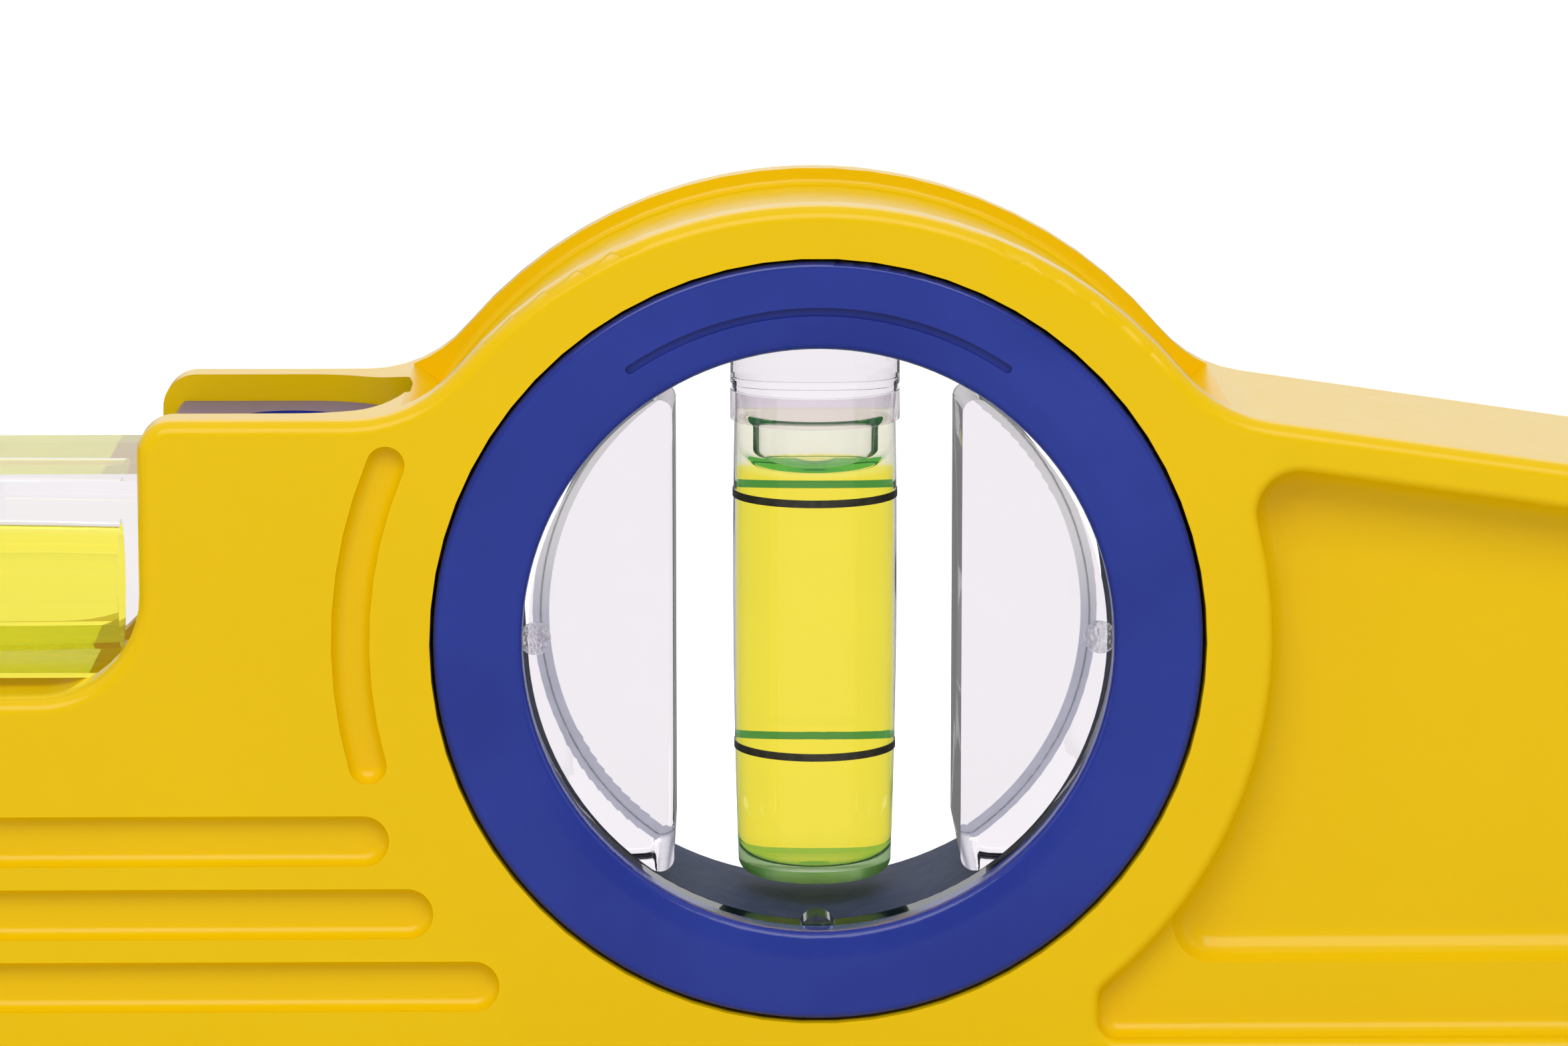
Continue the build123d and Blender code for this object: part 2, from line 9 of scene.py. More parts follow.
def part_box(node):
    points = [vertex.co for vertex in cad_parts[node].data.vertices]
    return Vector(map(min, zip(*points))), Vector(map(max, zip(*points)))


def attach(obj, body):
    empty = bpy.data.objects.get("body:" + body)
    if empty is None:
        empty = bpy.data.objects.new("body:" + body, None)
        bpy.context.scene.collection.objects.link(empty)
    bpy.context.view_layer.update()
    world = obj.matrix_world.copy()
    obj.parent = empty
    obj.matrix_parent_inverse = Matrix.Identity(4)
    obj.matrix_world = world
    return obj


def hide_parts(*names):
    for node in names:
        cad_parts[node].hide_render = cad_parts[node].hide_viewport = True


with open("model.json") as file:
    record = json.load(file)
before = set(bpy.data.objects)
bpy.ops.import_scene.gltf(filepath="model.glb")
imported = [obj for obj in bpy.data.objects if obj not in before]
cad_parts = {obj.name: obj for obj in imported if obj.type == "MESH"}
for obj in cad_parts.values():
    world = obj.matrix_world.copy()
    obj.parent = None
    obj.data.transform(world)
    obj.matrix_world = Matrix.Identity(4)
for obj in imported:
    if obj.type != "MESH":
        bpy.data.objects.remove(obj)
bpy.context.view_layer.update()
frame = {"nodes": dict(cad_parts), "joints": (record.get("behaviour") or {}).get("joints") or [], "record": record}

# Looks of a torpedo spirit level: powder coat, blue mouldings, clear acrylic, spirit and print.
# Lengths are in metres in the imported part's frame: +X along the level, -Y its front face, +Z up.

MM = 0.001

# ---- refraction
ACRYLIC_IOR = 1.49
SPIRIT_IOR = 1.36
WETTED_IOR = ACRYLIC_IOR / SPIRIT_IOR     # acrylic wall against spirit
BUBBLE_IOR = 1 / SPIRIT_IOR               # air inside spirit

# ---- gaps and limits
FILM = 0.02 * MM                          # clear and wet pieces stand this far off their neighbours
BUBBLE_FILM = 0.05 * MM                   # keeps the level bubble off the barrel at its limits
INK_DEPTH = 0.02 * MM                     # printed rings sink this far into the wall
AIR_GAP = 0.02 * MM                       # tube to the ceiling of its socket
BEZEL_WIDTH = 5.0 * MM                    # outer rim of a blue ring to its opening
TOUCH = 0.01 * MM                         # faces nearer than this lie on the same surface
FLAT = 0.9                                # a face turned this far along an axis is flat across it
SHARP = math.radians(35)                  # edges sharper than this aren't shaded smooth
CARRIER_RIM = 0.2 * MM                    # depth of the carrier's outer wall
CARRIER_LIP = 0.3 * MM                    # the front ring's lip over the carrier, least value
SLEEVE_WALL = 2.0 * MM                    # the rear ring's inner walls lie at least this far in
PRISM_EDGE = 0.62 * MM                    # depth of a prism's rounded back edge
PRISM_TIP_FROM = 11.0 * MM                # a prism's rounded tips lie beyond this height
EDGE_FACING = (0.12, 0.97)                # how far the rounded back edge's faces turn outward
TIP_FACING = (-0.4, 0.9)                  # the same for the tips' faces
TIP_DEPTH_FACING = 0.6                    # the tips' faces turn less than this along the depth
SOFT_STEP = 0.25 * MM                     # half the width of a change of tint
RING_SIDES = 256                          # straight parts of a printed ring
FLOOR_HALF = 6.0

# ---- tints and light
CLEAR_TINT = (0.94, 0.895, 0.94)
VIAL_TINT = (0.96, 0.925, 0.955)
PALE_FILM = (0.98, 0.93, 0.80)            # spirit where a bubble leaves only a film of it
EDGE_PAINTED_LIGHT = (0.90, 0.88, 0.91)            # a prism's edge colour towards its top: painted light
FILM_PAINTED_GLOW = 0.2                           # part of the spirit's painted glow that is left in the film
DIFFUSE_LEVEL = 0.49                      # the surroundings, as they light dull surfaces
LAMP_TARGET = (0.0, 0.0, 0.03)
LAMP_WIDTH, LAMP_HEIGHT = 0.8, 0.5

# ---- camera
CAMERA_LENS, CAMERA_SENSOR = 140.57, 36.0
CAMERA_PLACE = (-7.137 * MM, -346.727 * MM, 66.681 * MM)   # from the left ring, on the front face
CAMERA_DIP, CAMERA_SWING = 9.74, -0.85                     # degrees


# ------------------------------------------------------------ places

def middle(node):
    """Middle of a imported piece."""
    low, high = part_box(node)
    return (low + high) / 2


def reach(node):
    """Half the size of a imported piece, along each axis."""
    low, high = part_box(node)
    return (high - low) / 2


def unit_place(unit):
    """Where a round unit sits, and how far it is turned about its own axis."""
    centre = middle(unit + "_bezel_front")
    joint = next(j for j in frame["joints"] if j["child"] == unit + "_bubble")
    lean = Vector(joint["axis"])
    turn = Matrix.Rotation(math.atan2(lean.x, lean.z), 4, "Y")
    return Matrix.Translation((centre.x, 0, centre.z)) @ turn


# ------------------------------------------------------------ shader helpers

def new_material(name):
    """A fresh material with only a Principled shader and its output."""
    material = bpy.data.materials.new(name)
    material.use_nodes = True
    tree = material.node_tree
    shader = next(n for n in tree.nodes if n.type == "BSDF_PRINCIPLED")
    return material, tree, shader


def add(tree, kind, **settings):
    """A node with its settings, given by attribute name."""
    node = tree.nodes.new(kind)
    for key, value in settings.items():
        setattr(node, key, value)
    return node


def object_point(tree):
    """Object coordinates, in metres."""
    return add(tree, "ShaderNodeTexCoord").outputs["Object"]


def noise(tree, point, scale, detail):
    """A noise value at this scale, in features per metre."""
    node = add(tree, "ShaderNodeTexNoise")
    node.inputs["Scale"].default_value = scale
    node.inputs["Detail"].default_value = detail
    tree.links.new(point, node.inputs["Vector"])
    return node.outputs["Fac"]


def mottled(tree, scale, detail, dark, light):
    """A colour that wanders between two tints."""
    return ramp(tree, noise(tree, object_point(tree), scale, detail), [(0.3, dark), (0.7, light)])


def ramp(tree, value, stops):
    """A colour ramp over (position, colour) stops."""
    node = add(tree, "ShaderNodeValToRGB")
    while len(node.color_ramp.elements) < len(stops):
        node.color_ramp.elements.new(0.5)
    for element, (position, colour) in zip(node.color_ramp.elements, stops):
        element.position = position
        element.color = (*colour, 1)
    tree.links.new(value, node.inputs["Fac"])
    return node.outputs["Color"]


def spread(tree, value, low, high):
    """Stretch a 0 to 1 value between two numbers."""
    node = add(tree, "ShaderNodeMapRange")
    node.inputs["To Min"].default_value = low
    node.inputs["To Max"].default_value = high
    tree.links.new(value, node.inputs["Value"])
    return node.outputs["Result"]


def height_above(tree, place, height, soft=SOFT_STEP):
    """0 below a height at a place, 1 above it, with a soft step between."""
    into = add(tree, "ShaderNodeMapping")
    turn = place.inverted()
    into.inputs["Location"].default_value = turn.to_translation()
    into.inputs["Rotation"].default_value = turn.to_euler()
    tree.links.new(object_point(tree), into.inputs["Vector"])
    axes = add(tree, "ShaderNodeSeparateXYZ")
    tree.links.new(into.outputs["Vector"], axes.inputs["Vector"])
    step = add(tree, "ShaderNodeMapRange", interpolation_type="SMOOTHSTEP")
    step.inputs["From Min"].default_value = height - soft
    step.inputs["From Max"].default_value = height + soft
    tree.links.new(axes.outputs["Z"], step.inputs["Value"])
    return step.outputs["Result"]


def mixed(tree, amount, colour, other):
    """A colour that turns into a plain other one, by an amount."""
    node = add(tree, "ShaderNodeMix", data_type="RGBA")
    factor, first, second = [socket for socket in node.inputs if socket.enabled]
    second.default_value = (*other, 1)
    tree.links.new(amount, factor)
    tree.links.new(colour, first)
    return next(socket for socket in node.outputs if socket.enabled)


def bumped(tree, shader, height, distance, strength):
    """Give the shader a bump of this height."""
    node = add(tree, "ShaderNodeBump")
    node.inputs["Distance"].default_value = distance
    node.inputs["Strength"].default_value = strength
    tree.links.new(height, node.inputs["Height"])
    tree.links.new(node.outputs["Normal"], shader.inputs["Normal"])


# ------------------------------------------------------------ materials

def powder_coat():
    """Yellow powder coat over die-cast metal: satin, with a fine orange peel."""
    material, tree, shader = new_material("powder_coat")
    colour = mottled(tree, 45.0, 3.0, (0.885, 0.57, 0.0), (0.915, 0.59, 0.0))
    tree.links.new(colour, shader.inputs["Base Color"])
    peel = noise(tree, object_point(tree), 700.0, 2.0)
    tree.links.new(spread(tree, peel, 0.17, 0.27), shader.inputs["Roughness"])
    shader.inputs["IOR"].default_value = 1.34
    bumped(tree, shader, peel, 0.02 * MM, 0.35)
    return material


def blue_plastic():
    """Royal blue moulded plastic with a soft sheen."""
    material, tree, shader = new_material("blue_plastic")
    colour = mottled(tree, 120.0, 4.0, (0.018, 0.036, 0.29), (0.025, 0.047, 0.34))
    tree.links.new(colour, shader.inputs["Base Color"])
    grain = noise(tree, object_point(tree), 2500.0, 3.0)
    tree.links.new(spread(tree, grain, 0.14, 0.24), shader.inputs["Roughness"])
    bumped(tree, shader, grain, 0.01 * MM, 0.3)
    return material


def clear_plastic(name, ior, tint, roughness=0.0):
    """Clear moulded acrylic, or its wall against spirit when the index is low."""
    material, tree, shader = new_material(name)
    pale = tuple(min(1.0, t * 1.015) for t in tint)
    tree.links.new(mottled(tree, 300.0, 3.0, tint, pale), shader.inputs["Base Color"])
    shader.inputs["Roughness"].default_value = roughness
    shader.inputs["IOR"].default_value = ior
    shader.inputs["Transmission Weight"].default_value = 1.0
    return material


def spirit(name, tint, glow, strength, thin=None):
    """Fluorescent yellow spirit: its colour by transmission, and a painted green glow, an emission that stands for
    the light it gathers.

    thin, as (place, height), is where only a film of spirit is left round a bubble: it is paler there, and its
    painted glow is weaker.
    """
    material, tree, shader = new_material(name)
    colour = mottled(tree, 150.0, 2.0, tuple(0.97 * t for t in tint), tint)
    if thin:
        above = height_above(tree, *thin)
        colour = mixed(tree, above, colour, PALE_FILM)
        # painted glow: the emission colour, weaker where only a film is left
        light = ramp(tree, above, [(0.0, glow), (1.0, tuple(FILM_PAINTED_GLOW * g for g in glow))])
        tree.links.new(light, shader.inputs["Emission Color"])
    else:
        # painted glow: an even emission colour
        shader.inputs["Emission Color"].default_value = (*glow, 1)
    tree.links.new(colour, shader.inputs["Base Color"])
    shader.inputs["Roughness"].default_value = 0.0
    shader.inputs["IOR"].default_value = 1.0
    shader.inputs["Transmission Weight"].default_value = 1.0
    shader.inputs["Emission Strength"].default_value = strength
    return material


def frosted(name, tint):
    """Clear acrylic with the fine frost of a sawn or moulded end."""
    material, tree, shader = new_material(name)
    frost = noise(tree, object_point(tree), 3500.0, 4.0)
    colour = ramp(tree, frost, [(0.3, tint), (0.7, (0.97, 0.96, 0.97))])
    tree.links.new(colour, shader.inputs["Base Color"])
    bumped(tree, shader, frost, 0.06 * MM, 0.7)
    shader.inputs["Roughness"].default_value = 0.2
    shader.inputs["IOR"].default_value = ACRYLIC_IOR
    shader.inputs["Transmission Weight"].default_value = 1.0
    return material


def shaded(name, dark, light, glow=0.0):
    """A dull, mottled inner wall that takes no sheen, its colours painted shade and light from round it; glow is
    painted light that stands for light that finds its way in.
    """
    material, tree, shader = new_material(name)
    tree.links.new(mottled(tree, 900.0, 3.0, dark, light), shader.inputs["Base Color"])
    shader.inputs["Roughness"].default_value = 0.6
    shader.inputs["IOR"].default_value = 1.2
    shader.inputs["Emission Color"].default_value = (*light, 1)
    shader.inputs["Emission Strength"].default_value = glow
    return material


def painted_clear_edge(name, tint, place=None):
    """The edge of a clear moulding, which passes only part of the light, in a painted colour that stands for the
    light and shade it catches from round it.

    Given a place, it turns paler towards the place's top: painted light.
    """
    material, tree, shader = new_material(name)
    colour = mottled(tree, 700.0, 3.0, tint, tuple(min(1.0, 1.2 * t) for t in tint))
    if place:
        # paler towards the top: painted light
        upper = height_above(tree, place, 2.0 * MM, 4.0 * MM)
        colour = mixed(tree, upper, colour, EDGE_PAINTED_LIGHT)
    tree.links.new(colour, shader.inputs["Base Color"])
    shader.inputs["Roughness"].default_value = 0.35
    shader.inputs["IOR"].default_value = 1.1
    shader.inputs["Transmission Weight"].default_value = 0.6
    return material


def ink(name, dark, light):
    """Printed line ink with a slightly uneven lay-down."""
    material, tree, shader = new_material(name)
    tree.links.new(mottled(tree, 1800.0, 3.0, dark, light), shader.inputs["Base Color"])
    shader.inputs["Roughness"].default_value = 0.45
    return material


def metal(name, dark, light, roughness):
    """Plated metal with fine marks."""
    material, tree, shader = new_material(name)
    marks = noise(tree, object_point(tree), 1500.0, 4.0)
    tree.links.new(ramp(tree, marks, [(0.3, dark), (0.7, light)]), shader.inputs["Base Color"])
    finish = spread(tree, marks, roughness - 0.06, roughness + 0.06)
    tree.links.new(finish, shader.inputs["Roughness"])
    shader.inputs["Metallic"].default_value = 1.0
    return material


COAT = powder_coat()
BLUE = blue_plastic()
CLEAR = clear_plastic("clear_acrylic", ACRYLIC_IOR, CLEAR_TINT, 0.01)
GLASSY = clear_plastic("clear_tube", ACRYLIC_IOR, VIAL_TINT)
# painted shade: the blue ring in shadow, as it shows through the clear flange
PAINTED_BLUE_SHADE = shaded("acrylic_on_blue_painted_shade", (0.012, 0.035, 0.07), (0.03, 0.06, 0.09))
# painted shade and glow: the coat under the block in shadow, seen through it in the spirit's green light
PAINTED_COAT_UNDER_BLOCK = shaded("acrylic_on_coat_painted_shade_glow", (0.62, 0.60, 0.004), (0.70, 0.67, 0.006), 0.30)
# painted light: the spirit's green glow as the solid foot of the tube shows it
PAINTED_FOOT_GLOW = painted_clear_edge("tube_foot_painted_glow", (0.20, 0.40, 0.12))
# painted shade and reflection: the same blue plastic, greyer and dull where its inner walls lie in shadow
SLEEVE_PAINTED_SHADE = shaded("blue_plastic_inside_painted_shade", (0.040, 0.055, 0.125), (0.060, 0.075, 0.155))
WETTED = clear_plastic("acrylic_against_spirit", WETTED_IOR, (0.99, 0.99, 0.99))
FROST = frosted("frosted_acrylic", (0.60, 0.58, 0.64))
# the spirit's green emission is a painted glow
BLOCK_SPIRIT = spirit("block_spirit", (0.97, 0.74, 0.09), (0.30, 1.0, 0.10), 0.11)
AIR = clear_plastic("bubble_skin", BUBBLE_IOR, (0.995, 0.995, 0.99))
INK = ink("line_ink", (0.030, 0.028, 0.018), (0.060, 0.056, 0.036))
MAGNET = metal("magnet_plating", (0.42, 0.42, 0.43), (0.62, 0.62, 0.63), 0.28)
SCREW = metal("screw_steel", (0.14, 0.14, 0.15), (0.24, 0.24, 0.25), 0.38)


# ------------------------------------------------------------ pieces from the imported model

def welded(node):
    """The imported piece's mesh, welded and free to edit."""
    weld = bmesh.new()
    weld.from_mesh(frame["nodes"][node].data)
    bmesh.ops.remove_doubles(weld, verts=weld.verts, dist=1e-6)
    return weld


def body_of(node):
    """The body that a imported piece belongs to."""
    bodies = frame["record"]["behaviour"]["bodies"]
    return next(name for name, members in bodies.items() if node in members)


def slot_of(node):
    """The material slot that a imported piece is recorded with."""
    return next(part["material_slot"] for part in frame["record"]["subparts"] if part["node"] == node)


def settle(piece, node):
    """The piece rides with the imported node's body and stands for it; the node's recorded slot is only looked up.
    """
    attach(piece, body_of(node))
    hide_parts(node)
    slot_of(node)


def smoothed(weld):
    """Shade a mesh smooth except over its sharp edges."""
    for face in weld.faces:
        face.smooth = True
    for edge in weld.edges:
        edge.smooth = edge.calc_face_angle(0.0) < SHARP


def finished(weld, node, materials):
    """Turn an edited mesh into the visible piece."""
    smoothed(weld)
    mesh = bpy.data.meshes.new(node + "_skin")
    weld.to_mesh(mesh)
    weld.free()
    for material in materials:
        mesh.materials.append(material)
    piece = bpy.data.objects.new(node + "_skin", mesh)
    bpy.context.scene.collection.objects.link(piece)
    weighted = piece.modifiers.new("even_normals", "WEIGHTED_NORMAL")
    weighted.keep_sharp = True
    weighted.weight = 100
    settle(piece, node)


def surfaced(node, material):
    """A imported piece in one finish."""
    finished(welded(node), node, [material])


def local_points(weld, place):
    """Each vertex seen from a place: (vertex, local point)."""
    into = place.inverted()
    return [(vertex, into @ vertex.co) for vertex in weld.verts]


def extent(weld, place):
    """Lowest and highest height, and the largest distance from the upright axis, at a place."""
    points = [point for _, point in local_points(weld, place)]
    heights = [point.z for point in points]
    return min(heights), max(heights), max(math.hypot(point.x, point.y) for point in points)


def shells(weld):
    """The connected shells of a mesh, largest first."""
    left = set(weld.verts)
    found = []
    while left:
        stack = [left.pop()]
        shell = set(stack)
        while stack:
            for edge in stack.pop().link_edges:
                for vertex in edge.verts:
                    if vertex in left:
                        left.remove(vertex)
                        shell.add(vertex)
                        stack.append(vertex)
        found.append(shell)
    return sorted(found, key=len, reverse=True)


def shell_size(shell):
    """Size of a shell, as the sum of its spans."""
    return sum(max(v.co[i] for v in shell) - min(v.co[i] for v in shell) for i in range(3))


def shrink(weld, film=FILM):
    """Draw a mesh in by a film's width, so that it clears the faces that it touches."""
    weld.normal_update()
    steps = [(vertex, vertex.normal * film) for vertex in weld.verts]
    for vertex, step in steps:
        vertex.co -= step


def liquid(node, material):
    """The spirit: the bore it fills, a film's width off the wall, without the bubble's hollow."""
    weld = welded(node)
    filled = max(shells(weld), key=shell_size)
    bmesh.ops.delete(weld, geom=[v for v in weld.verts if v not in filled], context="VERTS")
    shrink(weld)
    finished(weld, node, [material])


def clear_piece(node):
    """A clear moulding, drawn in so that it clears its neighbours."""
    weld = welded(node)
    shrink(weld)
    finished(weld, node, [CLEAR])


def prism_piece(unit, node, painted_edge_material):
    """A clear prism whose rounded edges carry painted shade."""
    edge = painted_edge_faces(unit, node)
    weld = welded(node)
    for face in weld.faces:
        face.material_index = 1 if edge(face) else 0
    shrink(weld)
    finished(weld, node, [CLEAR, painted_edge_material])


def on_cylinder(face, into, radius):
    """Whether every corner of a face lies at this distance from the upright axis of a place."""
    corners = [into @ vertex.co for vertex in face.verts]
    return all(abs(math.hypot(corner.x, corner.y) - radius) < TOUCH for corner in corners)


def drop_faces(weld, doomed):
    """Delete these faces and whatever they leave loose."""
    bmesh.ops.delete(weld, geom=doomed, context="FACES")


# ------------------------------------------------------------ level vial

UPRIGHT_TO_X = Matrix.Rotation(math.radians(90), 4, "Y")


def level_vial():
    """The clear block, its two plugs, the spirit and the bubble."""
    spirit_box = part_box("level_spirit")
    axis_z = (spirit_box[0].z + spirit_box[1].z) / 2
    place = Matrix.Translation((0, 0, axis_z)) @ UPRIGHT_TO_X
    into = place.inverted()
    end = spirit_box[1].x
    bore = reach("level_spirit").z
    seat = reach("level_plug_right").z
    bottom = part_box("level_block")[0].z
    outer_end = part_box("level_plug_right")[1].x
    block = welded("level_block")
    seats = []
    for face in block.faces:
        middle_point = face.calc_center_median()
        point = into @ middle_point
        within = math.hypot(point.x, point.y) < bore + TOUCH and abs(point.z) < end - TOUCH
        under = middle_point.z < bottom + TOUCH
        # the block's underside takes the painted shade and glow of the coat below
        face.material_index = 1 if within else 2 if under else 0
        if on_cylinder(face, into, seat):
            seats.append(face)
    drop_faces(block, seats)
    finished(block, "level_block", [GLASSY, WETTED, PAINTED_COAT_UNDER_BLOCK])
    for node in ("level_plug_left", "level_plug_right"):
        plug = welded(node)
        for face in plug.faces:
            away = abs(face.calc_center_median().x)
            face.material_index = 1 if abs(away - end) < TOUCH else 2 if away > outer_end - TOUCH else 0
        drop_faces(plug, [face for face in plug.faces if on_cylinder(face, into, seat)])
        finished(plug, node, [GLASSY, WETTED, FROST])
    liquid("level_spirit", BLOCK_SPIRIT)
    bubble = welded("level_bubble")
    shrink(bubble, BUBBLE_FILM)
    finished(bubble, "level_bubble", [AIR])
    surfaced("level_lines", INK)


# ------------------------------------------------------------ round units

def tube_pieces(unit):
    """The tube of a round unit with its stopper, spirit and bubble."""
    place = unit_place(unit)
    into = place.inverted()
    spirit_mesh = welded(unit + "_spirit")
    floor, ceiling, bore = extent(spirit_mesh, place)
    spirit_mesh.free()
    tube = welded(unit + "_vial_tube")
    top = extent(tube, place)[1]
    seats = []
    for face in tube.faces:
        point = into @ face.calc_center_median()
        inside = math.hypot(point.x, point.y) < bore + TOUCH and point.z > floor - TOUCH
        foot = point.z < floor - TOUCH
        # faces of the foot take the painted green light
        face.material_index = 1 if inside and point.z < ceiling else 2 if foot else 0
        if inside and point.z > ceiling:
            seats.append(face)
    drop_faces(tube, seats)
    stopper = welded(unit + "_vial_stopper")
    for face in stopper.faces:
        face.material_index = 1 if (into @ face.calc_center_median()).z < ceiling + TOUCH else 0
    drop_faces(stopper, [face for face in stopper.faces if on_cylinder(face, into, bore)])
    for piece in (tube, stopper):
        for vertex, point in local_points(piece, place):
            if point.z > top - TOUCH:
                vertex.co = place @ (point - Vector((0, 0, AIR_GAP)))
    finished(tube, unit + "_vial_tube", [GLASSY, WETTED, PAINTED_FOOT_GLOW])
    finished(stopper, unit + "_vial_stopper", [GLASSY, WETTED])
    bubble = welded(unit + "_bubble")
    under = extent(bubble, place)[0]
    bubble.free()
    # painted green glow, weaker where the bubble leaves a film
    colour = spirit(unit + "_spirit_colour", (0.95, 0.575, 0.014), (0.20, 1.0, 0.30), 0.16, (place, under))
    liquid(unit + "_spirit", colour)
    surfaced(unit + "_bubble", AIR)


def unit_faces(weld, place):
    """Each face with its distance from the unit's centre line, its depth and its facing along it."""
    into = place.inverted()
    turn = into.to_3x3()
    for face in weld.faces:
        point = into @ face.calc_center_median()
        yield face, math.hypot(point.x, point.z), point.y, (turn @ face.normal).y


def carrier_piece(unit):
    """The clear flange: faces that bear on the blue rings carry painted shade, the blue ring in shadow seen
    through them; its bosses end in frost.
    """
    weld = welded(unit + "_carrier")
    opening = reach(unit + "_bezel_front").x - BEZEL_WIDTH
    outer = extent(weld, unit_place(unit) @ Matrix.Rotation(math.radians(90), 4, "X"))[2]
    for face, away, _, facing in unit_faces(weld, unit_place(unit)):
        flat = abs(facing) > FLAT
        # faces painted as the blue ring in shadow
        painted_blue_seat = away > outer - CARRIER_RIM or (flat and away > opening + CARRIER_LIP)
        frosted_end = flat and away < opening
        face.material_index = 1 if painted_blue_seat else 2 if frosted_end else 0
    shrink(weld)
    finished(weld, unit + "_carrier", [CLEAR, PAINTED_BLUE_SHADE, FROST])


def painted_edge_faces(unit, node):
    """Tells the faces of a prism's rounded tips and of its rounded back edge, which take painted shade."""
    into = unit_place(unit).inverted()
    turn = into.to_3x3()
    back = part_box(node)[1].y

    def edge(face):
        point = into @ face.calc_center_median()
        normal = turn @ face.normal
        outward = Vector((point.x, 0, point.z)).normalized()
        facing = normal.dot(outward)
        rounded = point.y > back - PRISM_EDGE and EDGE_FACING[0] < facing < EDGE_FACING[1]
        turned = TIP_FACING[0] < facing < TIP_FACING[1] and abs(normal.y) < TIP_DEPTH_FACING
        return rounded or (abs(point.z) > PRISM_TIP_FROM and turned)

    return edge


def rear_ring(unit):
    """The rear blue ring: glossy outside; down its inner walls a dull, greyer blue of painted shade and painted
    reflection.
    """
    weld = welded(unit + "_bezel_rear")
    outer = reach(unit + "_bezel_rear").x
    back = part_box(unit + "_bezel_rear")[1].y
    for face, away, depth, _ in unit_faces(weld, unit_place(unit)):
        # inner walls take the painted shade and reflection
        face.material_index = 1 if away < outer - SLEEVE_WALL and depth < back - TOUCH else 0
    finished(weld, unit + "_bezel_rear", [BLUE, SLEEVE_PAINTED_SHADE])


# ------------------------------------------------------------ grown by rule

def new_tree(name, sizes):
    """A Geometry Nodes tree with a geometry input, named sizes and a material."""
    tree = bpy.data.node_groups.new(name, "GeometryNodeTree")
    tree.interface.new_socket("Geometry", in_out="INPUT", socket_type="NodeSocketGeometry")
    for size in sizes:
        tree.interface.new_socket(size, in_out="INPUT", socket_type="NodeSocketFloat")
    tree.interface.new_socket("Material", in_out="INPUT", socket_type="NodeSocketMaterial")
    tree.interface.new_socket("Geometry", in_out="OUTPUT", socket_type="NodeSocketGeometry")
    return tree, add(tree, "NodeGroupInput")


def close_tree(tree, group, geometry):
    """End a tree: realize the instances, set the material, output."""
    real = add(tree, "GeometryNodeRealizeInstances")
    tree.links.new(geometry, real.inputs["Geometry"])
    painted = add(tree, "GeometryNodeSetMaterial")
    tree.links.new(real.outputs["Geometry"], painted.inputs["Geometry"])
    tree.links.new(group.outputs["Material"], painted.inputs["Material"])
    out = add(tree, "NodeGroupOutput")
    tree.links.new(painted.outputs["Geometry"], out.inputs["Geometry"])


def grown(name, mesh, tree, values, node):
    """Run a tree on a mesh with these inputs, and keep the result as a plain piece."""
    seed = bpy.data.objects.new(name + "_seed", mesh)
    bpy.context.scene.collection.objects.link(seed)
    modifier = seed.modifiers.new("rule", "NODES")
    modifier.node_group = tree
    for item in tree.interface.items_tree:
        if item.in_out == "INPUT" and item.name in values:
            modifier[item.identifier] = values[item.name]
    seed.update_tag()
    bpy.context.view_layer.update()
    graph = bpy.context.evaluated_depsgraph_get()
    made = bpy.data.meshes.new_from_object(seed.evaluated_get(graph), depsgraph=graph)
    seed.modifiers.clear()
    bpy.data.objects.remove(seed)
    made.name = name
    piece = bpy.data.objects.new(name, made)
    bpy.context.scene.collection.objects.link(piece)
    settle(piece, node)
    return piece


def pairs_tree(name, offsets):
    """Copies of the input piece on both sides of the middle, at each named offset."""
    tree, group = new_tree(name, offsets)
    join = add(tree, "GeometryNodeJoinGeometry")
    for offset in offsets:
        start = add(tree, "ShaderNodeCombineXYZ")
        span = add(tree, "ShaderNodeCombineXYZ")
        back = add(tree, "ShaderNodeMath", operation="MULTIPLY")
        twice = add(tree, "ShaderNodeMath", operation="MULTIPLY")
        back.inputs[1].default_value = -1.0
        twice.inputs[1].default_value = 2.0
        tree.links.new(group.outputs[offset], back.inputs[0])
        tree.links.new(group.outputs[offset], twice.inputs[0])
        tree.links.new(back.outputs[0], start.inputs["X"])
        tree.links.new(twice.outputs[0], span.inputs["X"])
        line = add(tree, "GeometryNodeMeshLine", mode="OFFSET")
        line.inputs["Count"].default_value = 2
        tree.links.new(start.outputs["Vector"], line.inputs["Start Location"])
        tree.links.new(span.outputs["Vector"], line.inputs["Offset"])
        tree.links.new(line.outputs["Mesh"], join.inputs["Geometry"])
    copies = add(tree, "GeometryNodeInstanceOnPoints")
    tree.links.new(join.outputs["Geometry"], copies.inputs["Points"])
    tree.links.new(group.outputs["Geometry"], copies.inputs["Instance"])
    close_tree(tree, group, copies.outputs["Instances"])
    return tree


def one_copy(node):
    """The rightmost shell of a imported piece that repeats, moved to the middle; with all offsets."""
    weld = welded(node)
    places = sorted(((shell, sum(v.co.x for v in shell) / len(shell)) for shell in shells(weld)),
                    key=lambda pair: pair[1])
    offsets = sorted({round(abs(x), 5) for _, x in places})
    shell, x = places[-1]
    bmesh.ops.delete(weld, geom=[v for v in weld.verts if v not in shell], context="VERTS")
    for vertex in weld.verts:
        vertex.co.x -= x
    smoothed(weld)
    mesh = bpy.data.meshes.new(node + "_one")
    weld.to_mesh(mesh)
    weld.free()
    return mesh, offsets


def repeated(node, material, names):
    """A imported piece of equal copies, grown from one of them."""
    mesh, offsets = one_copy(node)
    tree = pairs_tree(node + "_pairs", names)
    values = dict(zip(names, offsets))
    values["Material"] = material
    grown(node + "_skin", mesh, tree, values, node)


